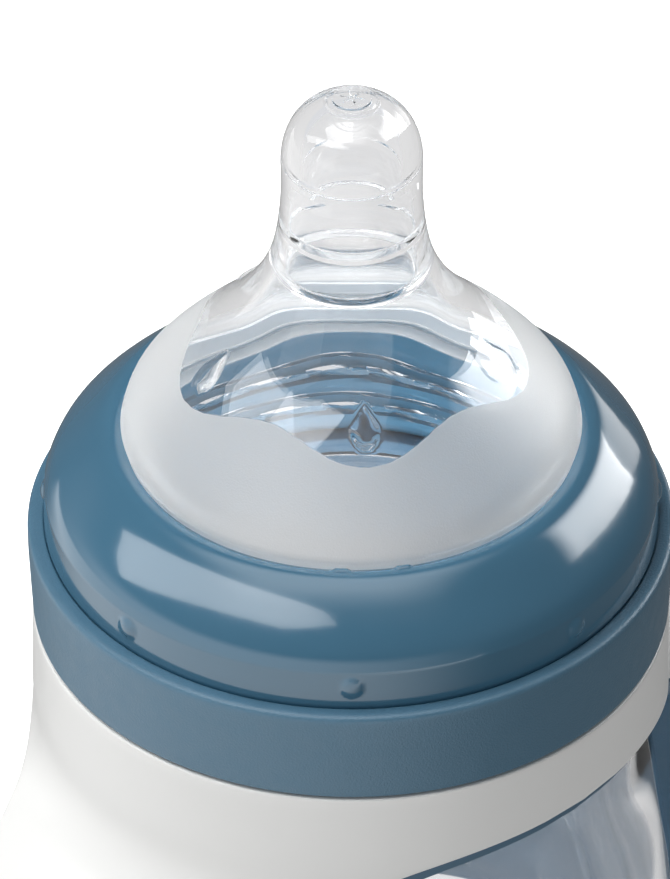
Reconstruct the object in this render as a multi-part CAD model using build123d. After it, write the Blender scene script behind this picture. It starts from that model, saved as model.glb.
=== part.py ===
"""Learning bottle: clear body, silicone teat, screw collar and a removable two-handled frame.

Millimetres, +Z up. The origin is the centre of the foot ring, on the surface that the bottle stands
on. The two handles lie along X, the windows face -Y and +Y, and the volume scale is on +Y.
Each function returns one physical piece, and the last section writes each piece to its own file.
"""

import os
from math import cos, pi, radians, sin, sqrt, tan

from build123d import *

# Driving dimensions
TOTAL_H = 150.0  # base to the tip of the teat
BAND_R = 36.0  # outside radius at the collar's lower edge
BAND_Z = 83.25  # height of the collar's lower edge
WALL = 2.2  # bottle wall

# Foot and floor of the bottle
SIDE_FOOT = (34.9, 7.0)  # where the side runs into the foot's round
FOOT_ROUND = (33.3, 1.9)  # middle of that round
FOOT_R = 29.4
FOOT_IN_R = 27.2
UNDER_EDGE = (25.6, 1.8)  # underside, beside the foot ring
UNDER_Z = 3.0  # underside, at the axis
FLOOR_Z = 5.6  # inside floor, at its edge
FLOOR_R = 26.5
FLOOR_DOME = 0.8  # how much the floor rises at the axis
CORNER_TOP = 12.0  # where the inside corner runs into the side
CORNER_ROUND = (31.0, 7.6)  # middle of the inside corner
CORNER_LEAN = 0.9  # how fast that corner narrows the inside, for the volume marks

# Neck, thread and rim of the bottle
NECK_R = 28.6
BORE_R = 26.0
RIM_Z = BAND_Z + 18.7
RIM_EDGE = 0.4  # bevels of the rim
LEDGE_R = 30.6
LEDGE_Z = BAND_Z - 2.05  # the handle frame rests here
SHOULDER = (27.6, LEDGE_Z - 1.3)  # inside, where the side turns in to the neck
PITCH = 5.0
TURNS = 1.5
THREAD_DEPTH = 1.55
THREAD_ROOT_W = 2.2
THREAD_CREST_W = 1.2
NECK_THREAD_Z = BAND_Z + 5.0

# Collar
COLLAR_R = 34.4  # glossy wall, just above the matte band
COLLAR_BORE_R = 30.5
SLOT_R = (31.9, 33.1)  # slot between the threaded wall and the outer wall
SLOT_H = 12.6
BAND_SEAT_R = 34.2  # outside of the collar, under the matte band
COLLAR_HOLE_R = 25.0
CROWN_Z = BAND_Z + 23.45
SEAT_Z = BAND_Z + 20.8  # underside that presses on the teat's flange
BAND_H = 11.4
BUMPS = 8
BUMP_Z = BAND_Z + 14.2
BUMP_R = 1.35
BUMP_H = 0.45
BUMP_WALL_R = 34.25
TAB_ANGLES = (222.5, 237.2)  # two small bars on the lip of the hole
TAB_R = 26.0
TAB_L = 2.0
TAB_ROUND = 0.35
BAND_TOP_R = 36.25
BAND_CORNER_R = 1.35
BAND_EDGE = 0.4  # bevel of the band's lower edge

# Teat
TEAT_WALL = 1.9
HEAD_R = 7.63
HEAD_Z = BAND_Z + 58.5
HEAD_POWER = 2.3
HEAD_IN_R = 5.45
HEAD_IN_POWER = 2.2
HEAD_WALL = 2.1  # at the top
TIP_DISC_R = 2.05
TIP_DISC_H = 0.25
SLIT_L = 2.4
SLIT_W = 0.15
FLANGE_R = 28.0
FLANGE_H = 1.9
GROOVE_R = COLLAR_HOLE_R - 0.3  # the collar's hole sits in this groove
SKIRT_IN = (GROOVE_R - 1.5, BAND_Z + 21.6)  # lower end of the skirt's inside
RING_H = 0.9  # plain part of each ring inside the neck
RING_DEPTH = 0.3
RING_PITCH = 5.2
DROPS = 5
DROP_Z = BAND_Z + 35.1
FIRST_DROP = 230.0
DROP_SKIRT_R = 16.8  # radius of the skirt at the drops
DROP_R = 1.6
DROP_BELOW = 1.9
DROP_ABOVE = 2.9
DROP_H = 0.35

# Handle frame
FRAME_TOP = BAND_Z - 0.3
FRAME_BOTTOM = BAND_Z - 76.0
RING_TAPER = 0.4  # how much the upper ring widens
RING_TAPER_H = 10.0  # over this height below its top
LOWER_RING_R = 39.7
BULGE_TOP = BAND_Z - 12.3  # the handles leave the rings between these two heights
BULGE_BOTTOM = BAND_Z - 73.3
FLARE = radians(55)  # steepest lean of a handle, from upright
ROOT_R = 11.0  # bend where a handle leaves a ring
GRIP_R = 18.0  # bend at the middle of a handle
WINDOW_Y = 39.5
WINDOW_HALF_Y = 24.0
WINDOW_TOP = BAND_Z - 9.1
WINDOW_BOTTOM = BAND_Z - 69.0
WINDOW_REACH = 80.0  # the cuts run this far each way along X
SHELL_WALL = 1.3
LINING_WALL = 1.1
EXTRA_WALL = 1.3  # added to both walls at the middle of a handle
LINING_PROUD = 2.2  # how far the lining shows past the shell's window edge
SEAT_IN_R = 29.2
SEAT_H = 1.6
SECTIONS = 27  # elliptical sections of each loft

# Printed scale
INK = 0.12
SCALE_STEP_ML = 30
SCALE_TOP_ML = 210
LONG_MARK = 9.0
SHORT_MARK = 5.0
MARK_H = 0.7
MARK_DEPTH = 20.0  # of the blocks that the marks are cut from


def revolved(*edges):
    """Solid of revolution about Z from the edges of a closed outline in the XZ plane."""
    return revolve(make_face(Plane.XZ * Wire(list(edges))), Axis.Z, 360)


def ring_of(outline):
    """Solid of revolution about Z from the corners of a closed outline."""
    return revolved(*Polyline(*outline, close=True).edges())


# Bottle body

BODY_OUTLINE = [
    (LEDGE_R, LEDGE_Z),
    (32.3, BAND_Z - 9.0),
    (35.0, BAND_Z - 22.6),
    (36.75, BAND_Z - 33.3),
    (38.0, 41.0),
    (36.7, 22.0),
    SIDE_FOOT,
]


def body_radius(z):
    """Outside radius of the bottle's side at height z."""
    points = sorted((h, r) for r, h in BODY_OUTLINE)
    for (h0, r0), (h1, r1) in zip(points, points[1:]):
        if z <= h1:
            break
    return r0 + (r1 - r0) * (z - h0) / (h1 - h0)


def side_spline(grow):
    """The bottle's side, moved out by grow."""
    return Spline(*[(r + grow, z) for r, z in BODY_OUTLINE])


def make_bottle_body():
    side = side_spline(0)
    foot = ThreePointArc(SIDE_FOOT, FOOT_ROUND, (FOOT_R, 0))
    under = Polyline((FOOT_R, 0), (FOOT_IN_R, 0), UNDER_EDGE, (0, UNDER_Z))
    axis = Line((0, UNDER_Z), (0, FLOOR_Z + FLOOR_DOME))
    floor = Line((0, FLOOR_Z + FLOOR_DOME), (FLOOR_R, FLOOR_Z))
    corner_top = (SIDE_FOOT[0] - WALL, CORNER_TOP)
    corner = ThreePointArc((FLOOR_R, FLOOR_Z), CORNER_ROUND, corner_top)
    inside_points = [(r - WALL, z) for r, z in BODY_OUTLINE[-2:0:-1]]
    inside = Spline(corner_top, *inside_points, SHOULDER)
    neck = Polyline(
        SHOULDER,
        (BORE_R, LEDGE_Z + 1.6),
        (BORE_R, RIM_Z - RIM_EDGE),
        (BORE_R + RIM_EDGE, RIM_Z),
        (NECK_R - RIM_EDGE, RIM_Z),
        (NECK_R, RIM_Z - RIM_EDGE),
        (NECK_R, LEDGE_Z),
        (LEDGE_R, LEDGE_Z),
    )
    edges = [*side.edges(), *foot.edges(), *under.edges(), *axis.edges(), *floor.edges()]
    edges += [*corner.edges(), *inside.edges(), *neck.edges()]
    return revolved(*edges) + thread_ridge(NECK_R, 1, NECK_THREAD_Z)


def thread_ridge(root_r, outward, z):
    """Screw ridge that stands out of a wall of radius root_r, outward 1 or inward -1."""
    turn = Helix(PITCH, PITCH * TURNS, root_r, center=(0, 0, z))
    start = Plane(origin=(root_r, 0, z), x_dir=(outward, 0, 0), z_dir=(0, 1, 0))
    embed = 0.5
    crest = THREAD_CREST_W / 2
    slope = (THREAD_ROOT_W - THREAD_CREST_W) / 2 / THREAD_DEPTH
    base = THREAD_ROOT_W / 2 + slope * embed
    outline = Polyline(
        (-embed, -base),
        (THREAD_DEPTH, -crest),
        (THREAD_DEPTH, crest),
        (-embed, base),
        close=True,
    )
    return sweep(start * make_face(outline), path=turn, is_frenet=True)


# Screw collar

def make_screw_collar():
    outline = [
        (COLLAR_BORE_R + 0.5, BAND_Z),
        (SLOT_R[0], BAND_Z),
        (SLOT_R[0], BAND_Z + SLOT_H),
        (SLOT_R[1], BAND_Z + SLOT_H),
        (SLOT_R[1], BAND_Z),
        (BAND_SEAT_R, BAND_Z),
        (BAND_SEAT_R, BAND_Z + 11.1),
        (COLLAR_R, BAND_Z + 11.6),
        (34.15, BAND_Z + 15.9),
    ]
    wall = Polyline(*outline)
    crown = Spline(
        outline[-1],
        (33.6, BAND_Z + 17.2),
        (32.3, BAND_Z + 19.0),
        (30.6, BAND_Z + 20.7),
        (28.7, BAND_Z + 22.4),
        (26.3, CROWN_Z),
        (COLLAR_HOLE_R, CROWN_Z - 0.7),
    )
    inside = Polyline(
        (COLLAR_HOLE_R, CROWN_Z - 0.7),
        (COLLAR_HOLE_R, SEAT_Z),
        (28.3, SEAT_Z),
        (COLLAR_BORE_R, BAND_Z + 18.3),
        (COLLAR_BORE_R, BAND_Z + 0.5),
        outline[0],
    )
    collar = revolved(*wall.edges(), *crown.edges(), *inside.edges())
    for i in range(BUMPS):
        collar += Rot(0, 0, i * 360 / BUMPS) * snap_bump()
    for angle in TAB_ANGLES:
        collar += Rot(0, 0, angle) * lip_tab()
    return collar + thread_ridge(COLLAR_BORE_R, -1, NECK_THREAD_Z - PITCH / 2)


def snap_bump():
    """Low dome on the collar's wall, on the +X side."""
    root = 0.8
    rise = sin(radians(45)) * BUMP_H
    dome = ThreePointArc((BUMP_H, 0), (rise, BUMP_R * 0.62), (0, BUMP_R))
    sides = Polyline((0, BUMP_R), (-root, BUMP_R), (-root, 0), (BUMP_H, 0))
    half = make_face(Wire([*dome.edges(), *sides.edges()]))
    return Pos(BUMP_WALL_R, 0, BUMP_Z) * revolve(half, Axis.X, 360)


def lip_tab():
    """Round bar, half sunk in the crown, along the edge of the hole."""
    return Pos(TAB_R, 0, CROWN_Z - 0.1) * Rot(90, 0, 0) * Cylinder(TAB_ROUND, TAB_L)


def make_grip_band():
    top = BAND_Z + BAND_H
    below_corner = top - BAND_CORNER_R
    beside_corner = BAND_TOP_R - BAND_CORNER_R
    sides = Polyline(
        (BAND_TOP_R, below_corner),
        (BAND_TOP_R, BAND_Z + 8.0),
        (BAND_R, BAND_Z + BAND_EDGE),
        (BAND_R - BAND_EDGE, BAND_Z),
        (BAND_SEAT_R, BAND_Z),
        (BAND_SEAT_R, top - 0.3),
        (BAND_SEAT_R + 0.3, top),
        (beside_corner, top),
    )
    corner = RadiusArc((beside_corner, top), (BAND_TOP_R, below_corner), BAND_CORNER_R)
    return revolved(*sides.edges(), *corner.edges())


# Teat

TEAT_OUTLINE = [
    (25.5, BAND_Z + 24.3),
    (24.6, BAND_Z + 27.0),
    (23.1, BAND_Z + 29.0),
    (21.2, BAND_Z + 31.0),
    (19.04, BAND_Z + 33.0),
    (14.94, BAND_Z + 37.0),
    (11.66, BAND_Z + 41.0),
    (9.04, BAND_Z + 46.0),
    (7.95, BAND_Z + 51.0),
    (7.6, BAND_Z + 56.0),
]
BORE_STEPS = [(7.0, BAND_Z + 44.8), (6.3, BAND_Z + 50.3), (5.7, BAND_Z + 57.0)]


def head_points(radius, height, power, count):
    """Points of the teat's rounded head, from its side to its top: a superellipse."""
    points = []
    for i in range(count):
        t = (pi / 2) * i / (count - 1)
        points.append((radius * cos(t) ** (2 / power), HEAD_Z + height * sin(t) ** (2 / power)))
    return points


def inner_skirt():
    """Points of the skirt's inside, from its foot up to the rings of the neck."""
    points = [SKIRT_IN]
    for r, z in TEAT_OUTLINE[1:7]:
        points.append((r - TEAT_WALL * 0.75, z - TEAT_WALL * 0.66))
    points.append((7.5, BORE_STEPS[0][1]))
    return points


def neck_rings(start):
    """Corners of the stepped rings inside the neck, from the skirt's inside up to the head."""
    steps = [start]
    for r, z in BORE_STEPS:
        last = z == BORE_STEPS[-1][1]
        steps.append((r, z))
        steps.append((r, z + RING_H))
        steps.append((r + RING_DEPTH, z + RING_H + RING_DEPTH))
        steps.append((r - 0.25, HEAD_Z if last else z + RING_PITCH))
    return steps


def make_nipple():
    head_h = TOTAL_H - TIP_DISC_H - HEAD_Z
    outer = Spline(*TEAT_OUTLINE, *head_points(HEAD_R, head_h, HEAD_POWER, 7))
    flange_z = SEAT_Z - 0.05
    foot = Polyline(
        SKIRT_IN,
        (SKIRT_IN[0], flange_z - FLANGE_H),
        (FLANGE_R, flange_z - FLANGE_H),
        (FLANGE_R, flange_z),
        (GROOVE_R, flange_z),
        (GROOVE_R, BAND_Z + 23.7),
        TEAT_OUTLINE[0],
    )
    skirt_points = inner_skirt()
    skirt = Spline(*skirt_points)
    steps = neck_rings(skirt_points[-1])
    dome = Spline(steps[-1], *head_points(HEAD_IN_R, head_h - HEAD_WALL, HEAD_IN_POWER, 6)[1:])
    axis = Line((0, HEAD_Z + head_h - HEAD_WALL), (0, HEAD_Z + head_h))
    edges = [*outer.edges(), *foot.edges(), *skirt.edges(), *Polyline(*steps).edges()]
    teat = revolved(*edges, *dome.edges(), *axis.edges())
    disc_h = 1.5
    teat += Pos(0, 0, TOTAL_H - disc_h / 2) * Cylinder(TIP_DISC_R, disc_h)
    for angle in (0, 60, 120):
        teat -= Pos(0, 0, TOTAL_H) * Rot(0, 0, angle) * Box(SLIT_L, SLIT_W, 4 * HEAD_WALL)
    for i in range(DROPS):
        teat += raised_drop(FIRST_DROP + i * 360 / DROPS)
    return teat


def raised_drop(angle):
    """Drop-shaped boss on the skirt, point upwards."""
    slope = Plane(origin=(DROP_SKIRT_R, 0, DROP_Z), x_dir=(0, 1, 0), z_dir=(1, 0, 1))
    widest = (DROP_R * 0.95, 0.2)
    mirrored = (-widest[0], widest[1])
    outline = Wire(
        [
            *Line(mirrored, (0, DROP_ABOVE)).edges(),
            *Line((0, DROP_ABOVE), widest).edges(),
            *ThreePointArc(widest, (0, -DROP_BELOW), mirrored).edges(),
        ]
    )
    drop = extrude(slope * make_face(outline), amount=DROP_H)
    drop += extrude(slope * make_face(outline), amount=-TEAT_WALL * 0.4)
    return Rot(0, 0, angle) * drop


# Handle frame

def down_the_bulge(z):
    """0 at the top of the handles and 1 at their bottom."""
    return min(max((BULGE_TOP - z) / (BULGE_TOP - BULGE_BOTTOM), 0), 1)


def ring_radius(z):
    """Radius of the frame's rings, which eases to LOWER_RING_R below the handles."""
    t = down_the_bulge(z)
    upper = BAND_R + RING_TAPER * min((FRAME_TOP - z) / RING_TAPER_H, 1)
    return upper + (LOWER_RING_R - upper) * t * t * (3 - 2 * t)


def reach(z):
    """How far a handle stands out from the rings: a root arc, a straight lean and a grip arc."""
    half = (BULGE_TOP - BULGE_BOTTOM) / 2
    down = half - abs(z - (BULGE_TOP + BULGE_BOTTOM) / 2)
    if down <= 0:
        return 0
    root_end = ROOT_R * sin(FLARE)
    grip_start = half - GRIP_R * sin(FLARE)
    if down < root_end:
        return ROOT_R - sqrt(ROOT_R**2 - down**2)
    lean = ROOT_R * (1 - cos(FLARE)) + (min(down, grip_start) - root_end) * tan(FLARE)
    if down < grip_start:
        return lean
    return lean + sqrt(GRIP_R**2 - (half - down) ** 2) - GRIP_R * cos(FLARE)


def bulge(z):
    """0 at the rings and 1 at the middle of the handles."""
    return sin(pi * down_the_bulge(z)) ** 2


def frame_skin(wall, extra, low, high):
    """Solid inside the frame's outer surface, moved in by wall, and by extra more mid-handle."""
    sections = Sketch()
    for i in range(SECTIONS):
        z = low + (high - low) * i / (SECTIONS - 1)
        inset = wall + extra * bulge(z)
        long_r = ring_radius(z) + reach(z) - inset
        sections += Pos(0, 0, z) * Ellipse(long_r, ring_radius(z) - inset)
    return loft(sections)


def windows(grow):
    """The two cuts that leave a ribbon for each handle."""
    middle = (WINDOW_TOP + WINDOW_BOTTOM) / 2
    half_z = (WINDOW_TOP - WINDOW_BOTTOM) / 2 + grow
    cuts = Part()
    for side in (-1, 1):
        section = Plane.YZ * Pos(side * WINDOW_Y, middle) * Ellipse(WINDOW_HALF_Y + grow, half_z)
        cuts += extrude(section, amount=WINDOW_REACH, both=True)
    return cuts


def make_handle_shell():
    outer = frame_skin(0, 0, FRAME_BOTTOM, FRAME_TOP)
    inner = frame_skin(SHELL_WALL, EXTRA_WALL, FRAME_BOTTOM, FRAME_TOP)
    return outer - inner - windows(0)


def make_handle_lining():
    outer = frame_skin(SHELL_WALL, EXTRA_WALL, FRAME_BOTTOM, FRAME_TOP)
    wall = SHELL_WALL + LINING_WALL
    inner = frame_skin(wall, 2 * EXTRA_WALL, FRAME_BOTTOM, FRAME_TOP)
    lining = outer - inner - windows(-LINING_PROUD)
    seat_r = BAND_R - wall + 0.3
    seat = ring_of(
        [
            (SEAT_IN_R, FRAME_TOP - SEAT_H),
            (seat_r, FRAME_TOP - SEAT_H),
            (seat_r, FRAME_TOP),
            (SEAT_IN_R, FRAME_TOP),
        ]
    )
    return lining + seat


# Printed scale

def mark_heights():
    """Volumes to mark, in millilitres, with the height at which the bottle holds each."""
    marks = {}
    step = 0.25
    level = FLOOR_Z + FLOOR_DOME / 2
    total = 0.0
    for ml in range(SCALE_STEP_ML, SCALE_TOP_ML + 1, SCALE_STEP_ML // 2):
        while total < ml:
            corner = CORNER_LEAN * max(CORNER_TOP - level, 0)
            r = body_radius(level) - WALL - corner
            total += pi * r * r * step / 1000
            level += step
        marks[ml] = level
    return marks


def make_volume_scale():
    """Marks on the +Y side, long at each step and short halfway."""
    def closed_side(grow):
        side = side_spline(grow)
        foot_r, foot_z = SIDE_FOOT
        core = BAND_R - MARK_DEPTH
        box = Polyline((foot_r + grow, foot_z), (core, foot_z), (core, LEDGE_Z), (LEDGE_R + grow, LEDGE_Z))
        return revolved(*side.edges(), *box.edges())

    marks = Part()
    for ml, z in mark_heights().items():
        width = LONG_MARK if ml % SCALE_STEP_ML == 0 else SHORT_MARK
        marks += Pos(width / 2, BAND_R, z) * Box(width, MARK_DEPTH, MARK_H)
    return marks & (closed_side(INK) - closed_side(0))


PIECES = {
    "bottle_body": make_bottle_body,
    "nipple": make_nipple,
    "screw_collar": make_screw_collar,
    "collar_grip_band": make_grip_band,
    "handle_shell": make_handle_shell,
    "handle_lining": make_handle_lining,
    "volume_scale": make_volume_scale,
}

os.makedirs("parts", exist_ok=True)
for name, make in PIECES.items():
    export_step(make(), f"parts/{name}.step")
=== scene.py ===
"""Looks of the learning bottle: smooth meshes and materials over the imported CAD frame.

Outlines are in millimetres, as (radius, height); meshes are built in metres by MM.
"""

import math

import bmesh
import bpy
import numpy as np
from mathutils import Matrix, Vector


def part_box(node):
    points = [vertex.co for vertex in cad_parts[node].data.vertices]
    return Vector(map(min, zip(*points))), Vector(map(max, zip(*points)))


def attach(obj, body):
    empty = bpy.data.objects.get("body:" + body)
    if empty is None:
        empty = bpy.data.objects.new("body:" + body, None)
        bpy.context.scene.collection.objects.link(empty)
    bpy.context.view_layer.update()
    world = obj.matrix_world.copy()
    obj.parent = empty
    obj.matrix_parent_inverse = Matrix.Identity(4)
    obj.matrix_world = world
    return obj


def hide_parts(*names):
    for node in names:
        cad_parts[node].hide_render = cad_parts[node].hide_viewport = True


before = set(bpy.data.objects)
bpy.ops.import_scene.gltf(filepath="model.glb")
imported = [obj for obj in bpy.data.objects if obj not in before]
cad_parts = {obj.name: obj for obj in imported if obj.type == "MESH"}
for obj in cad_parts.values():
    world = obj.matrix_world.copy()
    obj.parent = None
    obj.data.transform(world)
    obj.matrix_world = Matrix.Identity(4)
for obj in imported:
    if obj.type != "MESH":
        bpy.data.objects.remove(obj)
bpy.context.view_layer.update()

MM = 0.001
PI = math.pi

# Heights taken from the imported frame, in millimetres
BAND_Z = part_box("collar_grip_band")[0].z / MM
RIM_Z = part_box("bottle_body")[1].z / MM
TIP_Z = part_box("nipple")[1].z / MM
FRAME_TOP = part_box("handle_shell")[1].z / MM
FRAME_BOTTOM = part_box("handle_shell")[0].z / MM

# Bottle
WALL = 2.2
NECK_R = 28.6
BORE_R = 26.0
LEDGE_Z = BAND_Z - 2.05
LEDGE_R = 30.6
PITCH = 5.0
TURNS = 1.5
THREAD_DEPTH = 1.55
THREAD_ROOT_W = 2.2
THREAD_CREST_W = 1.2
THREAD_END = 0.06  # radians over which a thread runs out
NECK_THREAD_Z = BAND_Z + 5.0
SIDE = [
    (34.9, 7.0),
    (36.7, 22.0),
    (38.0, 41.0),
    (36.75, BAND_Z - 33.3),
    (35.0, BAND_Z - 22.6),
    (32.3, BAND_Z - 9.0),
    (LEDGE_R, LEDGE_Z),
]

# Collar
COLLAR_R = 34.2
COLLAR_BORE_R = 30.5
HOLE_R = 25.0
CROWN_Z = BAND_Z + 23.45
SEAT_Z = BAND_Z + 20.8
BAND_H = 11.4
BUMPS = 8
BUMP_Z = BAND_Z + 14.2
BUMP_R = 1.35
BUMP_H = 0.45
TAB_ANGLES = (math.radians(222.5), math.radians(237.2))
TAB_R = 26.0
TAB_HALF_L = 1.0
TAB_ROUND = 0.35
TAB_END = 0.25

# Teat
HEAD_R = 7.63
HEAD_Z = BAND_Z + 58.5
DISC_R = 2.05
DISC_H = 0.25
DROPS = 5
FIRST_DROP = math.radians(230)
DROP_Z = BAND_Z + 35.1
DROP_H = 0.32
DROP_HALF_W = 1.6
DROP_LOW = 1.9
DROP_HIGH = 2.9
DROP_EDGE = 1.5
SLIT_HALF_W = 0.13
SLIT_R = 1.25
SLIT_DEPTH = 0.22
SKIRT = [
    (25.5, BAND_Z + 24.3),
    (24.6, BAND_Z + 27.0),
    (23.1, BAND_Z + 29.0),
    (21.2, BAND_Z + 31.0),
    (19.04, BAND_Z + 33.0),
    (14.94, BAND_Z + 37.0),
    (11.66, BAND_Z + 41.0),
    (9.04, BAND_Z + 46.0),
    (7.95, BAND_Z + 51.0),
    (7.6, BAND_Z + 56.0),
    (HEAD_R, HEAD_Z),
]
BORE_STEPS = [(7.0, BAND_Z + 44.8), (6.3, BAND_Z + 50.3), (5.7, BAND_Z + 57.0)]

# Frosting of the teat's skirt
FROST_Z = BAND_Z + 33.65
FROST_WAVE = 1.15
FROST_RAGGED = 0.25
FROST_BLEND = 0.12
FROST_FOOT_R = 23.9
FROST_OUTER = BAND_Z + 50.8  # radius plus height, more than the inner side has
FROST_ROUGHNESS = 0.55
FROST_SOLID = 0.35  # share of the frosted skin that scatters light like a solid

# Handle frame
BULGE_TOP = BAND_Z - 12.3
BULGE_BOTTOM = BAND_Z - 73.3
BAND_R = 36.0
RING_TAPER = 0.4
RING_TAPER_H = 10.0
LOWER_RING_R = 39.7
FLARE = math.radians(55)
ROOT_R = 11.0
GRIP_R = 18.0
WINDOW_Y = 39.5
WINDOW_HALF_Y = 24.0
WINDOW_TOP = BAND_Z - 9.1
WINDOW_BOTTOM = BAND_Z - 69.0
WINDOW_MID = (WINDOW_TOP + WINDOW_BOTTOM) / 2
WINDOW_HALF_Z = (WINDOW_TOP - WINDOW_BOTTOM) / 2
SHELL_WALL = 1.3
LINING_WALL = 1.1
EXTRA_WALL = 1.3
LINING_PROUD = 2.2

# Camera
VIEW_AZIMUTH = math.radians(-45)
VIEW_ELEVATION = math.radians(37.4)
VIEW_DISTANCE = 587.7
AIM_Z = BAND_Z + 21.24
AIM_RIGHT = -1.8
LENS_PER_HEIGHT = 5300 / 879

# Colours, linear
GLOSS_BLUE = (0.045, 0.13, 0.205)
MATTE_BLUE = (0.06, 0.145, 0.218)
SOFT_BLUE = (0.06, 0.13, 0.2)
SATIN_WHITE = (0.77, 0.77, 0.755)
INK = (0.1, 0.2, 0.28)
CLEAR = (0.985, 0.99, 1, 1)
CLEAR_SHADOW = (0.97, 0.975, 0.98)
CLEAR_SILICONE = (0.995, 0.995, 1.0)
SILICONE_SHADOW = (0.97, 0.98, 0.985)
FROSTED_SILICONE = (0.68, 0.685, 0.685)

# Refractive indices
PLASTIC_IOR = 1.49
COPOLYESTER_IOR = 1.5
SILICONE_IOR = 1.41

# Studio brightness
FLOOR_GLOW = 0.75  # added to the lit floor that the camera sees
FLOOR_BOUNCE = 0.8  # floor, as diffuse surfaces see it
SWEEP_DIM = 0.16  # floor and low backdrop in reflections, to the right
SWEEP_BRIGHT = 2.0  # the same to the front left
SWEEP_R = 0.15  # metres along the floor to its bright part
SWEEP_TOP = 0.4  # sine of the elevation where the backdrop's bright part ends
SWEEP_FULL = 0.12  # and of the one below which it is full
BACKDROP = 1.05  # the world that the camera sees
ROOM = 0.22  # the world that everything else sees
SEEN_THROUGH = 0.77  # studio seen by light that came through clear material


# Lines

def smooth_line(points, step):
    """Points about step apart on the natural cubic spline through the given points."""
    p = np.array(points, float)
    t = np.concatenate([[0], np.cumsum(np.hypot(*np.diff(p, axis=0).T))])
    n = len(t)
    h = np.diff(t)
    system = np.eye(n)
    bend = np.zeros((n, 2))
    for i in range(1, n - 1):
        system[i, i - 1 : i + 2] = h[i - 1], 2 * (h[i - 1] + h[i]), h[i]
        bend[i] = 6 * ((p[i + 1] - p[i]) / h[i] - (p[i] - p[i - 1]) / h[i - 1])
    m = np.linalg.solve(system, bend)
    s = np.linspace(0, t[-1], max(2, round(t[-1] / step) + 1))
    k = np.clip(np.searchsorted(t, s, side="right") - 1, 0, n - 2)
    w = h[k][:, None]
    b = (s - t[k])[:, None] / w
    a = 1 - b
    line = a * p[k] + b * p[k + 1] + ((a**3 - a) * m[k] + (b**3 - b) * m[k + 1]) * w**2 / 6
    return [tuple(q) for q in line]


def cornered_line(corners, step):
    """Straight runs between (r, z, fillet) corners, with round fillets and points step apart."""
    pieces = []
    for i, (r, z, fillet) in enumerate(corners):
        here = np.array((r, z))
        if fillet == 0 or i in (0, len(corners) - 1):
            pieces.append([here])
            continue
        back = np.array(corners[i - 1][:2]) - here
        ahead = np.array(corners[i + 1][:2]) - here
        back_len = np.hypot(*back)
        ahead_len = np.hypot(*ahead)
        back /= back_len
        ahead /= ahead_len
        half = math.acos(np.clip(back @ ahead, -1, 1)) / 2
        cut = min(fillet / math.tan(half), back_len * 0.49, ahead_len * 0.49)
        start, end = here + back * cut, here + ahead * cut
        arc = []
        for t in np.linspace(0, 1, 6):
            arc.append((1 - t) ** 2 * start + 2 * t * (1 - t) * here + t * t * end)
        pieces.append(arc)
    line = [pieces[0][0]]
    for piece in pieces[1:]:
        start, end = line[-1], piece[0]
        count = max(1, round(np.hypot(*(end - start)) / step))
        for k in range(1, count):
            line.append(start + (end - start) * k / count)
        line.extend(piece)
    return [tuple(q) for q in line]


def joined(*lines):
    """One line from several, without the points that repeat at the joins."""
    out = []
    for line in lines:
        for q in line:
            if not out or math.hypot(q[0] - out[-1][0], q[1] - out[-1][1]) > 1e-4:
                out.append(q)
    return out


# Meshes

def new_piece(name, vertices, faces, sharp=38):
    """Mesh object with outward normals, smooth except at edges sharper than the given degrees."""
    mesh = bpy.data.meshes.new(name)
    mesh.from_pydata([tuple(v) for v in vertices], [], faces)
    work = bmesh.new()
    work.from_mesh(mesh)
    bmesh.ops.remove_doubles(work, verts=work.verts, dist=2e-7)
    bmesh.ops.recalc_face_normals(work, faces=work.faces)
    work.to_mesh(mesh)
    work.free()
    mesh.polygons.foreach_set("use_smooth", [True] * len(mesh.polygons))
    mesh.set_sharp_from_angle(angle=math.radians(sharp))
    piece = bpy.data.objects.new(name, mesh)
    bpy.context.scene.collection.objects.link(piece)
    return piece


def lathe(name, outline, segments, shift=None, sharp=38):
    """Solid of revolution from a closed outline, or from one that runs from the axis to the axis.
    shift(angle, r, z) gives how far each point moves outwards, in millimetres."""
    poles = outline[0][0] < 1e-6 and outline[-1][0] < 1e-6
    ring = np.array(outline[1:-1] if poles else outline, float)
    if not poles and np.allclose(ring[0], ring[-1]):
        ring = ring[:-1]
    rows = len(ring)
    angle = np.tile(np.arange(segments) * 2 * PI / segments, (rows, 1))
    r = np.repeat(ring[:, :1], segments, 1)
    z = np.repeat(ring[:, 1:], segments, 1)
    if shift:
        r, z = shift(angle, r, z)
    co = np.stack([r * np.cos(angle), r * np.sin(angle), z], -1).reshape(-1, 3)
    vertices = list(co * MM)
    last = rows - 1 if poles else rows
    faces = []
    for i in range(last):
        a = i * segments
        b = (i + 1) % rows * segments
        for j in range(segments):
            k = (j + 1) % segments
            faces.append((a + j, a + k, b + k, b + j))
    if poles:
        for (_, z0), row in ((outline[0], 0), (outline[-1], rows - 1)):
            pole = len(vertices)
            vertices.append(np.array((0, 0, z0)) * MM)
            for j in range(segments):
                faces.append((pole, row * segments + j, row * segments + (j + 1) % segments))
    return new_piece(name, vertices, faces, sharp)


def join(name, pieces):
    """One object from several."""
    work = bmesh.new()
    for piece in pieces:
        work.from_mesh(piece.data)
        bpy.data.objects.remove(piece)
    mesh = bpy.data.meshes.new(name)
    work.to_mesh(mesh)
    work.free()
    whole = bpy.data.objects.new(name, mesh)
    bpy.context.scene.collection.objects.link(whole)
    return whole


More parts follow.
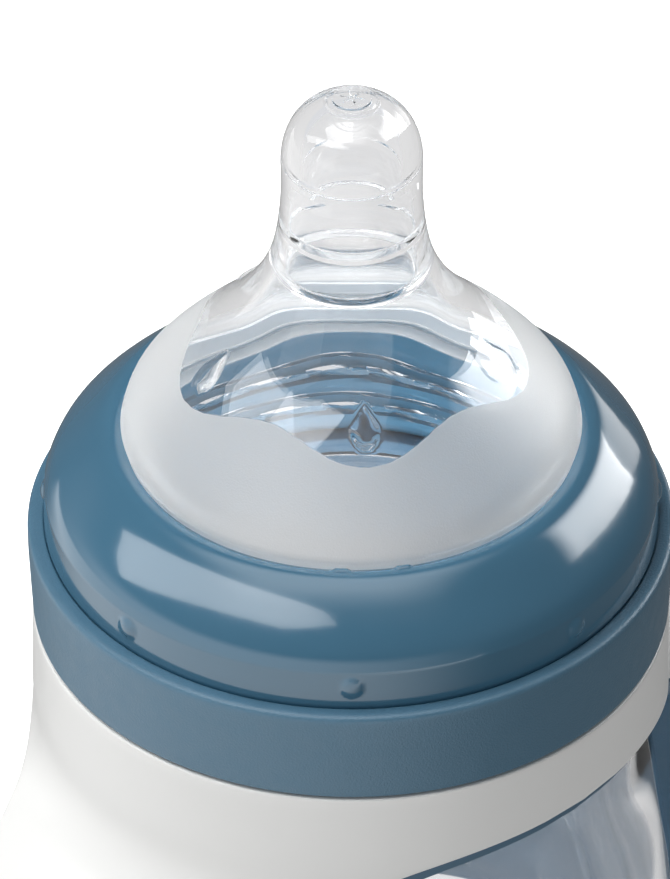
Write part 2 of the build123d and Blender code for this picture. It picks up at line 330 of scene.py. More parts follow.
def thread_height(angle, z, start_z):
    """How far the screw ridge stands out at an angle and height."""
    height = np.zeros_like(z)
    slope = (THREAD_ROOT_W - THREAD_CREST_W) / 2
    for turn in range(math.ceil(TURNS)):
        along = angle + turn * 2 * PI
        middle = start_z + PITCH * along / (2 * PI)
        rise = np.clip((THREAD_ROOT_W / 2 - np.abs(z - middle)) / slope, 0, 1)
        ends = np.clip(np.minimum(along, TURNS * 2 * PI - along) / THREAD_END, 0, 1)
        height = np.maximum(height, THREAD_DEPTH * rise * ends)
    return height


# Bottle

def make_bottle():
    base = cornered_line(
        [(0, 3.0, 0), (25.6, 1.8, 1.5), (27.2, 0, 0.4), (29.4, 0, 0)],
        2.0,
    )
    side = smooth_line([(29.4, 0), (31.7, 0.45), (33.3, 1.9), (34.45, 4.2), *SIDE], 1.2)
    neck = cornered_line(
        [
            (LEDGE_R, LEDGE_Z, 0),
            (NECK_R, LEDGE_Z, 0.3),
            (NECK_R, RIM_Z - 0.4, 0.5),
            (NECK_R - 0.4, RIM_Z, 0.4),
            (BORE_R + 0.4, RIM_Z, 0.4),
            (BORE_R, RIM_Z - 0.5, 0.4),
            (BORE_R, LEDGE_Z + 3.0, 0),
        ],
        0.22,
    )
    inner = [(r - WALL, z) for r, z in SIDE[1:-1]][::-1]
    inside = smooth_line(
        [(BORE_R, LEDGE_Z + 3.0), (26.3, LEDGE_Z + 0.8), (27.9, LEDGE_Z - 2.0), *inner]
        + [(32.7, 11.5), (31.6, 8.2), (29.4, 6.4), (26.5, 5.7), (14.0, 6.1), (0, 6.4)],
        1.2,
    )

    def shift(angle, r, z):
        on_neck = (abs(r - NECK_R) < 0.02) & (z > BAND_Z + 2)
        return r + np.where(on_neck, thread_height(angle, z, NECK_THREAD_Z), 0), z

    return lathe("bottle", joined(base, side, neck, inside), 320, shift)


# Collar

def make_collar():
    foot = cornered_line(
        [
            (COLLAR_BORE_R, BAND_Z + 1.2, 0),
            (COLLAR_BORE_R, BAND_Z, 0.5),
            (31.9, BAND_Z, 0.2),
            (31.9, BAND_Z + 12.6, 0.3),
            (33.1, BAND_Z + 12.6, 0.3),
            (33.1, BAND_Z, 0.2),
            (COLLAR_R, BAND_Z, 0.2),
            (COLLAR_R, BAND_Z + 10.4, 0),
        ],
        3.0,
    )
    wall = cornered_line(
        [
            (COLLAR_R, BAND_Z + 10.4, 0),
            (34.4, BAND_Z + 11.7, 0.4),
            (COLLAR_R, BAND_Z + 15.9, 0),
        ],
        0.24,
    )
    crown = smooth_line(
        [
            (COLLAR_R, BAND_Z + 15.9),
            (33.6, BAND_Z + 17.3),
            (32.3, BAND_Z + 19.0),
            (30.6, BAND_Z + 20.7),
            (28.7, BAND_Z + 22.4),
            (26.3, CROWN_Z),
            (HOLE_R + 0.1, CROWN_Z - 0.6),
        ],
        0.2,
    )
    inside = cornered_line(
        [
            (HOLE_R + 0.1, CROWN_Z - 0.6, 0),
            (HOLE_R, SEAT_Z, 0.2),
            (28.3, SEAT_Z, 0.4),
            (COLLAR_BORE_R, BAND_Z + 18.3, 0.6),
            (COLLAR_BORE_R, BAND_Z + 1.2, 0),
        ],
        0.3,
    )

    def shift(angle, r, z):
        step = 2 * PI / BUMPS
        across = r * (np.mod(angle + step / 2, step) - step / 2)
        away = np.hypot(across, z - BUMP_Z)
        ball_r = (BUMP_R**2 + BUMP_H**2) / (2 * BUMP_H)
        dome = np.sqrt(np.maximum(ball_r**2 - away**2, 0)) - (ball_r - BUMP_H)
        on_wall = (r > 33.8) & (z > BAND_Z + 11.8)
        on_bore = abs(r - COLLAR_BORE_R) < 0.02
        out = np.where(on_wall, np.maximum(dome, 0), 0)
        inwards = np.where(on_bore, thread_height(angle, z, NECK_THREAD_Z - PITCH / 2), 0)
        for tab in TAB_ANGLES:
            along = r * (np.mod(angle - tab + PI, 2 * PI) - PI)
            end = np.clip((TAB_HALF_L - np.abs(along)) / TAB_END, 0, 1)
            bar = np.sqrt(np.maximum(TAB_ROUND**2 - (r - TAB_R) ** 2, 0)) * end
            raised = np.maximum(z, np.where(bar > 0, CROWN_Z - 0.1 + bar, 0))
            z = np.where(z > CROWN_Z - 1, raised, z)
        return r + out - inwards, z

    return lathe("collar", joined(foot, wall, crown, inside), 640, shift)


def make_grip_band():
    top = BAND_Z + BAND_H
    outline = cornered_line(
        [
            (34.25, BAND_Z + 3.0, 0),
            (34.25, BAND_Z, 0.2),
            (36.0, BAND_Z, 0.45),
            (36.25, BAND_Z + 8.0, 2.0),
            (36.25, top, 1.35),
            (34.5, top - 0.02, 0.25),
            (34.3, top - 0.3, 0.1),
            (34.25, top - 0.5, 0),
            (34.25, BAND_Z + 3.0, 0),
        ],
        0.8,
    )
    return lathe("grip_band", outline, 360)


# Teat

def drop_rise(angle, r, z):
    """Height of the drop-shaped bosses, points upwards, on the skirt's outside."""
    step = 2 * PI / DROPS
    across = np.abs(r * (np.mod(angle - FIRST_DROP + step / 2, step) - step / 2))
    along = (z - DROP_Z) * math.sqrt(2)
    low = DROP_HALF_W * np.sqrt(np.maximum(1 - (along / DROP_LOW) ** 2, 0))
    high = DROP_HALF_W * np.clip(1 - along / DROP_HIGH, 0, 1) ** 0.85
    width = np.where(along < 0, low, high)
    inside = np.clip((width - across) / DROP_EDGE, 0, 1)
    return DROP_H * np.sqrt(inside * (2 - inside))


def head_line(radius, height, power, count):
    """The teat's rounded head, from its side up to the axis: a superellipse."""
    line = []
    for t in np.linspace(0, PI / 2, count):
        r = radius * max(math.cos(t), 0) ** (2 / power)
        line.append((r if t < PI / 2 - 1e-6 else 0, HEAD_Z + height * math.sin(t) ** (2 / power)))
    return line


def make_teat():
    head_h = TIP_Z - DISC_H - HEAD_Z
    dome = [q for q in head_line(HEAD_R, head_h, 2.3, 60) if q[0] > 2.9][::-1]
    disc = cornered_line(
        [
            (0, TIP_Z, 0),
            (DISC_R, TIP_Z, 0.12),
            (DISC_R + 0.1, TIP_Z - 0.34, 0.08),
            (2.62, TIP_Z - 0.38, 0.08),
            (2.78, TIP_Z - 0.26, 0.08),
            dome[0] + (0,),
        ],
        0.09,
    )
    skirt = smooth_line(SKIRT, 0.5)[::-1]
    flange_top = SEAT_Z - 0.05
    groove = HOLE_R - 0.3
    foot = cornered_line(
        [
            SKIRT[0] + (0,),
            (25.35, BAND_Z + 23.75, 0.25),
            (groove, BAND_Z + 23.5, 0.3),
            (groove, flange_top, 0.3),
            (28.0, flange_top, 0.3),
            (28.0, flange_top - 1.9, 0.3),
            (groove - 1.5, flange_top - 1.9, 0.3),
            (groove - 1.5, BAND_Z + 21.6, 0),
        ],
        0.6,
    )
    wall = 1.9
    inner = [(groove - 1.5, BAND_Z + 21.6)]
    for r, z in SKIRT[1:7]:
        inner.append((r - wall * 0.75, z - wall * 0.66))
    inner.append((7.5, BORE_STEPS[0][1]))
    rings = [(7.5, BORE_STEPS[0][1], 0)]
    for i, (r, z) in enumerate(BORE_STEPS):
        end = z + 5.2 if i < len(BORE_STEPS) - 1 else HEAD_Z
        rings += [(r, z, 0.15), (r, z + 0.9, 0.15), (r + 0.3, z + 1.2, 0.15)]
        rings.append((r - 0.25, end, 0.15 if i < len(BORE_STEPS) - 1 else 0))
    inner_head = [(r, z) for r, z in head_line(5.45, head_h - 2.1, 2.2, 40)]
    outline = joined(
        disc, dome, skirt, foot, smooth_line(inner, 0.9), cornered_line(rings, 0.4), inner_head
    )

    def shift(angle, r, z):
        outside = (z > BAND_Z + 30) & (z < BAND_Z + 40) & (r > 13)
        skirt_r = np.interp(z, *zip(*[(q[1], q[0]) for q in SKIRT]))
        near = outside & (r > skirt_r - 0.9)
        rise = np.where(near, drop_rise(angle, r, z), 0) / math.sqrt(2)
        slit = np.zeros_like(z)
        for turn in range(3):
            off = np.abs(r * np.sin(angle - turn * PI / 3))
            slit = np.maximum(slit, np.clip(1 - off / SLIT_HALF_W, 0, 1) * (r < SLIT_R))
        top = z > TIP_Z - 0.05
        return r + rise, z + rise - np.where(top, SLIT_DEPTH * slit, 0)

    return lathe("teat", outline, 480, shift, sharp=50)


# Handle frame

def down_the_bulge(z):
    return np.clip((BULGE_TOP - z) / (BULGE_TOP - BULGE_BOTTOM), 0, 1)


def ring_radius(z):
    t = down_the_bulge(z)
    upper = BAND_R + RING_TAPER * np.minimum((FRAME_TOP - z) / RING_TAPER_H, 1)
    return upper + (LOWER_RING_R - upper) * t * t * (3 - 2 * t)


def reach(z):
    """How far a handle stands out from the rings: a root arc, a straight lean and a grip arc."""
    half = (BULGE_TOP - BULGE_BOTTOM) / 2
    down = np.maximum(half - np.abs(z - (BULGE_TOP + BULGE_BOTTOM) / 2), 0)
    root_end = ROOT_R * math.sin(FLARE)
    grip_start = half - GRIP_R * math.sin(FLARE)
    root = ROOT_R - np.sqrt(np.maximum(ROOT_R**2 - down**2, 0))
    lean = ROOT_R * (1 - math.cos(FLARE)) + (np.minimum(down, grip_start) - root_end) * math.tan(FLARE)
    grip = lean + np.sqrt(np.maximum(GRIP_R**2 - (half - down) ** 2, 0)) - GRIP_R * math.cos(FLARE)
    return np.where(down < root_end, root, np.where(down < grip_start, lean, grip))


def on_section(angle, z, wall, extra):
    """Point of a frame surface that lies wall, plus extra at mid-handle, inside the outer one."""
    inset = wall + extra * np.sin(PI * down_the_bulge(z)) ** 2
    x = (ring_radius(z) + reach(z) - inset) * np.cos(angle)
    y = (ring_radius(z) - inset) * np.sin(angle)
    return np.stack([x, y, z], -1)


def window_edge(count, grow):
    """Angle and height along the window's edge in one quarter, from its top to its bottom."""
    turn = np.linspace(PI / 2, -PI / 2, 721)
    y = WINDOW_Y - (WINDOW_HALF_Y + grow) * np.cos(turn)
    z = WINDOW_MID + (WINDOW_HALF_Z + grow) * np.sin(turn)
    inside = y <= ring_radius(z)
    first, last = turn[inside][0], turn[inside][-1]
    turn = np.linspace(first, last, count)
    y = WINDOW_Y - (WINDOW_HALF_Y + grow) * np.cos(turn)
    z = WINDOW_MID + (WINDOW_HALF_Z + grow) * np.sin(turn)
    angle = np.arcsin(np.clip(y / ring_radius(z), -1, 1))
    angle[0] = angle[-1] = PI / 2
    return angle, z


def outer_edge(along_ring, along_handle, margin):
    """Angle and height along a quarter's rim: top edge, handle centre line, bottom edge."""
    top, bottom = FRAME_TOP - margin, FRAME_BOTTOM + margin
    quarter = np.linspace(PI / 2, 0, along_ring + 1)
    down = np.linspace(top, bottom, along_handle + 1)
    angle = np.concatenate([quarter, np.zeros(along_handle - 1), quarter[::-1]])
    z = np.concatenate([np.full(along_ring + 1, top), down[1:-1], np.full(along_ring + 1, bottom)])
    return angle, z


def frame_skin(name, outside, inside, grow, edge):
    """Closed skin between two surfaces, each (wall, extra), with windows and rounded rims."""
    along_ring, along_handle, across, round_steps = 56, 84, 18, 8
    count = 2 * along_ring + along_handle + 1
    window = window_edge(count, grow + edge)
    window_true = window_edge(count, grow)
    rim = outer_edge(along_ring, along_handle, edge)
    rim_true = outer_edge(along_ring, along_handle, 0)
    t = np.linspace(0, 1, across)[None, :] ** 1.15
    angle = window[0][:, None] * (1 - t) + rim[0][:, None] * t
    z = window[1][:, None] * (1 - t) + rim[1][:, None] * t
    layers = [on_section(angle, z, *skin) for skin in (outside, inside)]

    vertices = []
    faces = []

    def add_grid(grid):
        start = len(vertices)
        rows, columns = grid.shape[:2]
        vertices.extend(grid.reshape(-1, 3) * MM)
        for i in range(rows - 1):
            for j in range(columns - 1):
                a = start + i * columns + j
                faces.append((a, a + 1, a + columns + 1, a + columns))

    def rounded_rim(column, true_angle, true_z, rows):
        """Strip over an open edge, from the outer layer to the inner one."""
        edges = [layer[rows, column] for layer in layers]
        tips = [on_section(true_angle[rows], true_z[rows], *skin) for skin in (outside, inside)]
        strip = []
        for k in range(round_steps + 1):
            turn = PI * k / round_steps
            through = (1 - math.cos(turn)) / 2
            out = math.sin(turn) ** 0.6 if 0 < k < round_steps else 0
            flat = edges[0] * (1 - through) + edges[1] * through
            tip = tips[0] * (1 - through) + tips[1] * through
            strip.append(flat * (1 - out) + tip * out)
        return np.stack(strip, 1)

    everything = slice(0, count)
    top_rows = slice(0, along_ring + 1)
    bottom_rows = slice(along_ring + along_handle, count)
    strips = [
        rounded_rim(0, *window_true, everything),
        rounded_rim(-1, *rim_true, top_rows),
        rounded_rim(-1, *rim_true, bottom_rows),
    ]
    for side_x in (1, -1):
        for side_y in (1, -1):
            mirror = np.array((side_x, side_y, 1))
            for grid in layers + strips:
                add_grid(grid * mirror)
    return new_piece(name, vertices, faces, sharp=60)


def make_shell():
    return frame_skin("shell", (0, 0), (SHELL_WALL, EXTRA_WALL), 0, 0.4)


def make_lining():
    wall = SHELL_WALL + LINING_WALL
    outside = (SHELL_WALL + 0.02, EXTRA_WALL)
    skin = frame_skin("lining_skin", outside, (wall, 2 * EXTRA_WALL), -LINING_PROUD, 0.35)
    seat_r = BAND_R - wall + 0.6
    seat = lathe(
        "lining_seat",
        cornered_line(
            [
                (31.0, FRAME_TOP - 1.6, 0),
                (29.2, FRAME_TOP - 1.6, 0.3),
                (29.2, FRAME_TOP, 0.3),
                (seat_r, FRAME_TOP, 0.1),
                (seat_r, FRAME_TOP - 1.6, 0.1),
                (31.0, FRAME_TOP - 1.6, 0),
            ],
            1.0,
        ),
        240,
    )
    return join("lining", [skin, seat])


# Materials

def new_material(name):
    material = bpy.data.materials.new(name)
    material.use_nodes = True
    tree = material.node_tree
    return material, tree, tree.nodes["Principled BSDF"]


def node(tree, kind, **inputs):
    made = tree.nodes.new(kind)
    for key, value in inputs.items():
        made.inputs[key.replace("_", " ")].default_value = value
    return made


def noise(tree, scale, detail=3.0, roughness=0.55):
    """Noise over the piece's own coordinates, in metres."""
    place = tree.nodes.new("ShaderNodeTexCoord")
    made = node(tree, "ShaderNodeTexNoise", Scale=scale, Detail=detail, Roughness=roughness)
    tree.links.new(place.outputs["Object"], made.inputs["Vector"])
    return made.outputs["Fac"]


def spread(tree, source, low, high):
    """Maps 0.3 to 0.7 onto low to high."""
    made = tree.nodes.new("ShaderNodeMapRange")
    for key, value in (("From Min", 0.3), ("From Max", 0.7), ("To Min", low), ("To Max", high)):
        made.inputs[key].default_value = value
    tree.links.new(source, made.inputs["Value"])
    return made.outputs["Result"]


def colour_mix(tree, factor, low, high):
    made = tree.nodes.new("ShaderNodeMix")
    made.data_type = "RGBA"
    made.inputs["A"].default_value = low + (1,)
    made.inputs["B"].default_value = high + (1,)
    tree.links.new(factor, made.inputs["Factor"])
    return made.outputs["Result"]


def bump(tree, height, strength, distance):
    made = node(tree, "ShaderNodeBump", Strength=strength, Distance=distance)
    tree.links.new(height, made.inputs["Height"])
    return made.outputs["Normal"]


def maths(tree, operation, *values):
    """Maths node over numbers and outputs of other nodes."""
    made = tree.nodes.new("ShaderNodeMath")
    made.operation = operation
    for slot, value in enumerate(values):
        if isinstance(value, (int, float)):
            made.inputs[slot].default_value = value
        else:
            tree.links.new(value, made.inputs[slot])
    return made.outputs["Value"]


def eased(tree, source, start, end, low=0.0, high=1.0):
    """Goes smoothly from low to high while the source goes from start to end."""
    made = tree.nodes.new("ShaderNodeMapRange")
    made.interpolation_type = "SMOOTHSTEP"
    for key, value in (("From Min", start), ("From Max", end), ("To Min", low), ("To Max", high)):
        made.inputs[key].default_value = value
    tree.links.new(source, made.inputs["Value"])
    return made.outputs["Result"]


def blend(tree, factor, low, high):
    """Number between two others, each a number or another node's output."""
    made = tree.nodes.new("ShaderNodeMix")
    tree.links.new(factor, made.inputs["Factor"])
    for slot, value in (("A", low), ("B", high)):
        if isinstance(value, (int, float)):
            made.inputs[slot].default_value = value
        else:
            tree.links.new(value, made.inputs[slot])
    return made.outputs["Result"]


def axis_values(tree, vector):
    """The vector's three parts, as outputs named X, Y and Z."""
    made = tree.nodes.new("ShaderNodeSeparateXYZ")
    tree.links.new(vector, made.inputs["Vector"])
    return made.outputs


def plastic(name, colour, roughness, mottling, grain=None, coat=0.0):
    """Moulded plastic: slightly uneven colour and gloss, and a spark-eroded grain if given."""
    material, tree, shader = new_material(name)
    light = tuple(min(1, c * (1 + mottling)) for c in colour)
    dark = tuple(c * (1 - mottling) for c in colour)
    cloud = noise(tree, 90)
    tree.links.new(colour_mix(tree, cloud, dark, light), shader.inputs["Base Color"])
    uneven = spread(tree, noise(tree, 420, 4), roughness * 0.85, roughness * 1.15)
    tree.links.new(uneven, shader.inputs["Roughness"])
    shader.inputs["IOR"].default_value = PLASTIC_IOR
    shader.inputs["Coat Weight"].default_value = coat
    shader.inputs["Coat Roughness"].default_value = 0.03
    if grain:
        scale, strength, depth = grain
        normal = bump(tree, noise(tree, scale, 2), strength, depth)
    else:
        normal = bump(tree, noise(tree, 160, 2), 0.12, 0.0002)
    tree.links.new(normal, shader.inputs["Normal"])
    return material


def lets_lamps_through(tree, shader, tint):
    """Shadow rays pass, so that lamps reach what is inside."""
    output = tree.nodes["Material Output"]
    clear = node(tree, "ShaderNodeBsdfTransparent", Color=tint + (1,))
    path = tree.nodes.new("ShaderNodeLightPath")
    mix = tree.nodes.new("ShaderNodeMixShader")
    tree.links.new(path.outputs["Is Shadow Ray"], mix.inputs["Fac"])
    tree.links.new(shader.outputs["BSDF"], mix.inputs[1])
    tree.links.new(clear.outputs["BSDF"], mix.inputs[2])
    tree.links.new(mix.outputs["Shader"], output.inputs["Surface"])


def clear_plastic():
    material, tree, shader = new_material("clear_copolyester")
    shader.inputs["Transmission Weight"].default_value = 1
    shader.inputs["IOR"].default_value = COPOLYESTER_IOR
    shader.inputs["Base Color"].default_value = CLEAR
    tree.links.new(spread(tree, noise(tree, 240, 3), 0.01, 0.04), shader.inputs["Roughness"])
    tree.links.new(bump(tree, noise(tree, 60, 1), 0.08, 0.0003), shader.inputs["Normal"])
    lets_lamps_through(tree, shader, CLEAR_SHADOW)
    return material


def silicone():
    """Clear above, frosted on the skirt below a wavy edge that dips at each drop."""
    material, tree, shader = new_material("silicone")
    place = tree.nodes.new("ShaderNodeTexCoord")
    axes = axis_values(tree, place.outputs["Object"])

    def calc(operation, *values):
        return maths(tree, operation, *values)

    turn = calc("ARCTAN2", axes["Y"], axes["X"])
    lobes = calc("COSINE", calc("MULTIPLY", calc("SUBTRACT", turn, FIRST_DROP), DROPS))
    edge = calc("ADD", calc("MULTIPLY", lobes, -FROST_WAVE * MM), FROST_Z * MM)
    ragged = calc("MULTIPLY", calc("SUBTRACT", noise(tree, 900, 3), 0.5), FROST_RAGGED * MM)
    below = calc("SUBTRACT", calc("ADD", edge, ragged), axes["Z"])
    squares = calc("MULTIPLY", axes["X"], axes["X"])
    squares = calc("MULTIPLY_ADD", axes["Y"], axes["Y"], squares)
    radius = calc("SQRT", squares)
    past_wall = calc("SUBTRACT", calc("ADD", radius, axes["Z"]), FROST_OUTER * MM)
    at_foot = calc("SUBTRACT", radius, FROST_FOOT_R * MM)
    outside = calc("GREATER_THAN", calc("MAXIMUM", past_wall, at_foot), 0)
    limit = tree.nodes.new("ShaderNodeClamp")
    tree.links.new(calc("DIVIDE", below, FROST_BLEND * MM), limit.inputs["Value"])
    frosted = calc("MULTIPLY", limit.outputs["Result"], outside)
    roughness = calc("MULTIPLY_ADD", frosted, FROST_ROUGHNESS, 0.01)
    tree.links.new(roughness, shader.inputs["Roughness"])
    weight = calc("MULTIPLY_ADD", frosted, -FROST_SOLID, 1.0)
    tree.links.new(weight, shader.inputs["Transmission Weight"])
    base = colour_mix(tree, frosted, CLEAR_SILICONE, FROSTED_SILICONE)
    tree.links.new(base, shader.inputs["Base Color"])
    shader.inputs["IOR"].default_value = SILICONE_IOR
    sanded = calc("MULTIPLY", noise(tree, 5200, 2), frosted)
    tree.links.new(bump(tree, sanded, 0.35, 0.00008), shader.inputs["Normal"])
    lets_lamps_through(tree, shader, SILICONE_SHADOW)
    return material


# Printed scale

def mark_radius(z):
    return np.interp(z, [q[1] for q in SIDE], [q[0] for q in SIDE]) + 0.06


def wrapped(name, flat):
    """Object from a flat mesh in X and Z, in mm, laid on the bottle's +Y side."""
    for v in flat.vertices:
        r = float(mark_radius(v.co.z)) + v.co.y
        angle = PI / 2 + v.co.x / r
        v.co = Vector((r * math.cos(angle), r * math.sin(angle), v.co.z)) * MM
    piece = bpy.data.objects.new(name, flat)
    bpy.context.scene.collection.objects.link(piece)
    return piece


def tick(x0, x1, z, height=0.55, thick=0.06):
    """Thin bar with its corners at x0 and x1, cut finely enough to bend round the bottle."""
    work = bmesh.new()
    columns = np.linspace(x0, x1, max(4, int(abs(x1 - x0))))
    loops = []
    for x in columns:
        corners = ((0, -height / 2), (thick, -height / 2), (thick, height / 2), (0, height / 2))
        loops.append([work.verts.new((x, y, z + h)) for y, h in corners])
    for a, b in zip(loops, loops[1:]):
        for k in range(4):
            work.faces.new((a[k], a[(k + 1) % 4], b[(k + 1) % 4], b[k]))
    work.faces.new(loops[0])
    work.faces.new(loops[-1][::-1])
    bmesh.ops.recalc_face_normals(work, faces=work.faces)
    mesh = bpy.data.meshes.new("tick")
    work.to_mesh(mesh)
    work.free()
    return mesh


def numeral(text, x, z, size):
    """Flat mesh of generic digits, standing in X and Z."""
    curve = bpy.data.curves.new("digits", "FONT")
    curve.body = text
    curve.size = size
    curve.extrude = 0.03
    curve.align_y = "CENTER"
    holder = bpy.data.objects.new("digits", curve)
    bpy.context.scene.collection.objects.link(holder)
    bpy.context.view_layer.update()
    mesh = bpy.data.meshes.new_from_object(holder)
    bpy.data.objects.remove(holder)
    for v in mesh.vertices:
        v.co = Vector((v.co.x + x, v.co.z + 0.03, v.co.y + z))
    return mesh


def make_scale():
    first, last, half_step = 30, 210, 15
    heights = scale_heights(first, last, half_step)
    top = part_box("volume_scale")[1].z / MM
    pieces = []
    for ml, z in heights:
        width = 9.0 if ml % 30 == 0 else 5.0
        pieces.append(wrapped("tick", tick(-width, 0, z)))
        if ml % 60 == 0 or ml == last:
            pieces.append(wrapped("digits", numeral(str(ml), 1.6, z, 4.2)))
    pieces.append(wrapped("digits", numeral("ml", 2.2, top + 4.2, 3.6)))
    return join("scale", pieces)


def scale_heights(first, last, step):
    """Heights of the marks, from the CAD marks' own islands."""
    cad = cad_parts["volume_scale"].data
    heights = sorted({round(v.co.z / MM, 1) for v in cad.vertices})
    groups = [[heights[0]]]
    for z in heights[1:]:
        if z - groups[-1][-1] > 1.2:
            groups.append([])
        groups[-1].append(z)
    middles = [(g[0] + g[-1]) / 2 for g in groups]
    return list(zip(range(first, last + 1, step), middles))


# Build

PIECES = [
    ("bottle", make_bottle, "bottle", "bottle_body", "clear_body", clear_plastic),
    ("teat", make_teat, "teat", "nipple", "silicone", silicone),
    ("collar", make_collar, "collar", "screw_collar", "blue_gloss",
     lambda: plastic("gloss_blue", GLOSS_BLUE, 0.11, 0.03, coat=0.3)),
    ("grip_band", make_grip_band, "collar", "collar_grip_band", "blue_matte",
     lambda: plastic("matte_blue", MATTE_BLUE, 0.36, 0.04, grain=(4200, 0.5, 0.00012))),
    ("shell", make_shell, "handles", "handle_shell", "white_shell",
     lambda: plastic("satin_white", SATIN_WHITE, 0.34, 0.015)),
    ("lining", make_lining, "handles", "handle_lining", "blue_lining",
     lambda: plastic("soft_blue", SOFT_BLUE, 0.55, 0.05, grain=(3600, 0.4, 0.0001))),
    ("scale", make_scale, "bottle", "volume_scale", "scale_ink",
     lambda: plastic("ink", INK, 0.5, 0.06)),
]

for name, make, body, cad_node, slot, finish in PIECES:
    piece = make()
    piece.data.materials.clear()
    piece.data.materials.append(finish())
    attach(piece, body)
    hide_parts(cad_node)


# Stage, lights and camera

RIGHT = Vector((math.cos(VIEW_AZIMUTH), math.sin(VIEW_AZIMUTH), 0))
TOWARDS = Vector((math.sin(VIEW_AZIMUTH), -math.cos(VIEW_AZIMUTH), 0))
CENTRE = Vector((0, 0, AIM_Z * MM))


def studio(right, towards, up):
    """Point in metres, from the object's middle, in the camera's own directions."""
    return CENTRE + RIGHT * right + TOWARDS * towards + Vector((0, 0, up))


def fade_edges(data, fades):
    """Lets a lamp fade out over the given shares of its size, at X low, X high, Y low, Y high."""
    data.use_nodes = True
    tree = data.node_tree
    place = tree.nodes.new("ShaderNodeNewGeometry")
    axes = axis_values(tree, place.outputs["Parametric"])
    strength = 1.0
    for axis, edge, fade in zip("XXYY", (0, 1, 0, 1), fades):
        if fade == 0:
            continue
        rise = eased(tree, axes[axis], edge, abs(edge - fade))
        strength = maths(tree, "MULTIPLY", strength, rise)
    tree.links.new(strength, tree.nodes["Emission"].inputs["Strength"])


def softbox(name, place, sides, size, power, on, fades=None):
    """Lamp spanned by two sides, hidden from the camera and from diffuse or from gloss rays."""
    data = bpy.data.lights.new(name, "AREA")
    data.shape = "RECTANGLE"
    data.size, data.size_y = size
    data.energy = power
    lamp = bpy.data.objects.new(name, data)
    lamp.visible_glossy = on == "gloss"
    lamp.visible_diffuse = on == "diffuse"
    lamp.visible_camera = False
    if fades:
        fade_edges(data, fades)
    bpy.context.scene.collection.objects.link(lamp)
    side = sides[0].normalized()
    up = (sides[1] - side * sides[1].dot(side)).normalized()
    if side.cross(up).dot(place - CENTRE) < 0:
        side = -side
    back = side.cross(up)
    lamp.matrix_world = Matrix.Translation(place) @ Matrix((side, up, back)).transposed().to_4x4()


def facing_box(name, place, long_side, size, power, on, fades=None):
    """Softbox turned to the object, its long side as near as it can be to the given direction."""
    back = (place - CENTRE).normalized()
    side = studio(*long_side) - CENTRE
    side -= back * side.dot(back)
    softbox(name, place, (side, back.cross(side)), size, power, on, fades)


def brightness_towards(tree, source, span):
    """Brighter to the front left, where the lit sweep is, and dim to the right."""
    across = tree.nodes.new("ShaderNodeVectorMath")
    across.operation = "DOT_PRODUCT"
    across.inputs[1].default_value = RIGHT * -0.7 + TOWARDS * 0.7
    tree.links.new(source, across.inputs[0])
    return eased(tree, across.outputs["Value"], -0.1 * span, span, SWEEP_DIM, SWEEP_BRIGHT)


def make_stage():
    """Pale floor. Gloss sees it bright at the front left and dim at the right."""
    half = 6.0
    corners = [(-half, -half, 0), (half, -half, 0), (half, half, 0), (-half, half, 0)]
    mesh = bpy.data.meshes.new("floor")
    mesh.from_pydata(corners, [], [(0, 1, 2, 3)])
    floor = bpy.data.objects.new("floor", mesh)
    bpy.context.scene.collection.objects.link(floor)
    material, tree, shader = new_material("floor")
    shader.inputs["Base Color"].default_value = (0.9, 0.9, 0.9, 1)
    shader.inputs["Roughness"].default_value = 0.9
    shader.inputs["Emission Color"].default_value = (1, 1, 1, 1)
    shader.inputs["Emission Strength"].default_value = FLOOR_GLOW
    place = tree.nodes.new("ShaderNodeTexCoord")
    path = tree.nodes.new("ShaderNodeLightPath")
    sweep = brightness_towards(tree, place.outputs["Object"], SWEEP_R)
    lit = blend(tree, path.outputs["Is Glossy Ray"], FLOOR_BOUNCE, sweep)
    through = blend(tree, path.outputs["Transmission Depth"], lit, SEEN_THROUGH)
    glow = node(tree, "ShaderNodeEmission", Color=(1, 1, 1, 1))
    tree.links.new(through, glow.inputs["Strength"])
    mix = tree.nodes.new("ShaderNodeMixShader")
    tree.links.new(path.outputs["Is Camera Ray"], mix.inputs["Fac"])
    tree.links.new(glow.outputs["Emission"], mix.inputs[1])
    tree.links.new(shader.outputs["BSDF"], mix.inputs[2])
    tree.links.new(mix.outputs["Shader"], tree.nodes["Material Output"].inputs["Surface"])
    mesh.materials.append(material)


def make_world():
    """White to the camera, and otherwise a dim room with a low lit sweep that gloss sees."""
    world = bpy.data.worlds.new("studio")
    bpy.context.scene.world = world
    world.use_nodes = True
    tree = world.node_tree
    seen = tree.nodes["Background"]
    seen.inputs["Color"].default_value = (1, 1, 1, 1)
    seen.inputs["Strength"].default_value = BACKDROP
    room = node(tree, "ShaderNodeBackground", Color=(0.95, 0.97, 1, 1))
    path = tree.nodes.new("ShaderNodeLightPath")
    direction = tree.nodes.new("ShaderNodeTexCoord").outputs["Generated"]
    low = eased(tree, axis_values(tree, direction)["Z"], SWEEP_TOP, SWEEP_FULL)
    gloss_low = maths(tree, "MULTIPLY", low, path.outputs["Is Glossy Ray"])
    lit = blend(tree, gloss_low, ROOM, brightness_towards(tree, direction, 1.0))
    through = blend(tree, path.outputs["Transmission Depth"], lit, SEEN_THROUGH)
    tree.links.new(through, room.inputs["Strength"])
    mix = tree.nodes.new("ShaderNodeMixShader")
    tree.links.new(path.outputs["Is Camera Ray"], mix.inputs["Fac"])
    tree.links.new(room.outputs["Background"], mix.inputs[1])
    tree.links.new(seen.outputs["Background"], mix.inputs[2])
    tree.links.new(mix.outputs["Shader"], tree.nodes["World Output"].inputs["Surface"])


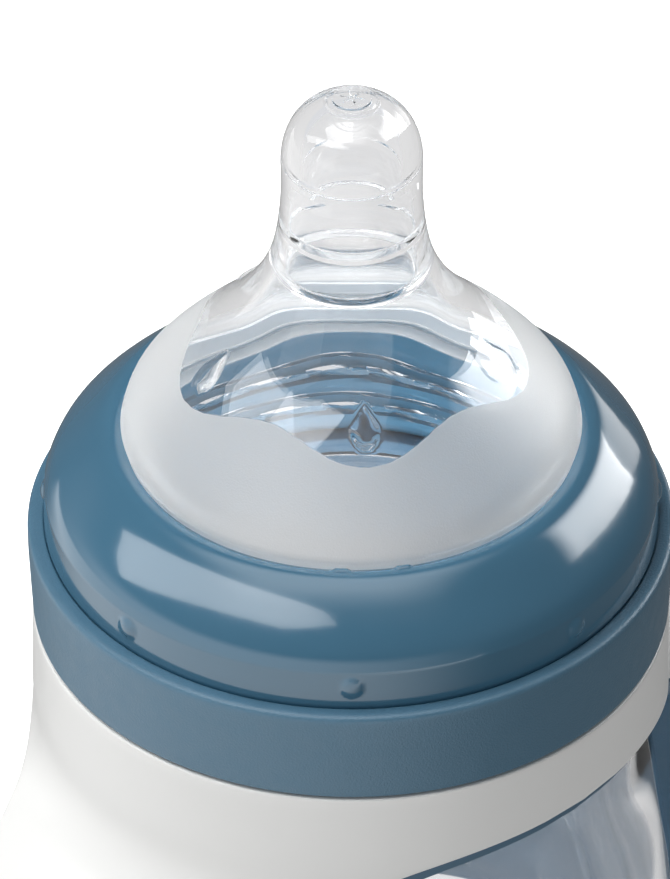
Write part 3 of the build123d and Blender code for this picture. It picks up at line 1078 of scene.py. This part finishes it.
def make_camera():
    data = bpy.data.cameras.new("camera")
    data.sensor_fit = "VERTICAL"
    data.sensor_height = 36
    data.lens = 36 * LENS_PER_HEIGHT
    data.clip_start = 0.01
    camera = bpy.data.objects.new("camera", data)
    bpy.context.scene.collection.objects.link(camera)
    back = TOWARDS * math.cos(VIEW_ELEVATION) + Vector((0, 0, math.sin(VIEW_ELEVATION)))
    up = back.cross(RIGHT)
    place = CENTRE + RIGHT * AIM_RIGHT * MM + back * VIEW_DISTANCE * MM
    camera.matrix_world = Matrix.Translation(place) @ Matrix((RIGHT, up, back)).transposed().to_4x4()
    bpy.context.scene.camera = camera


make_stage()
make_world()
make_camera()

# Lamps: place and side directions in studio axes, in metres, then size, watts and fades
STRIP_SIDES = (studio(-0.375, -0.74, -0.56) - CENTRE, studio(0.93, -0.27, -0.27) - CENTRE)
ALONG_RIGHT = (0.31, 0.72, 0.62)
LEVEL = (1, 0, 0)
FLAT = (Vector((1, 0, 0)), Vector((0, 1, 0)))
softbox("strip", studio(-0.5, 0.37, 0.65), STRIP_SIDES, (1.18, 0.44), 8, "gloss")
right_low = studio(0.71, -0.41, 0.43)
facing_box("right_low", right_low, ALONG_RIGHT, (0.8, 0.4), 8, "gloss", (0, 0.2, 0.6, 0))
right_high = studio(0.55, -0.79, 0.1)
facing_box("right_high", right_high, ALONG_RIGHT, (0.37, 0.36), 0.9, "gloss", (0, 0, 0.6, 0))
ceiling = studio(-0.1, 0.17, 1.1)
facing_box("ceiling", ceiling, LEVEL, (1.8, 1.4), 21, "gloss", (0.35, 0.35, 0.35, 0.35))
facing_box("key", studio(-0.33, 0.03, 0.84), LEVEL, (0.8, 0.8), 10, "diffuse")
facing_box("left", studio(-0.75, 0.5, 0.35), (1, 1, 0), (0.7, 0.7), 1.7, "diffuse")
softbox("inside", Vector((0, 0, 0.062)), FLAT, (0.03, 0.03), 0.055, "diffuse")
bpy.data.objects["inside"].visible_transmission = False

bpy.context.scene.view_settings.view_transform = "Standard"
bpy.context.scene.cycles.max_bounces = 32
bpy.context.scene.cycles.transmission_bounces = 32
bpy.context.scene.cycles.glossy_bounces = 12
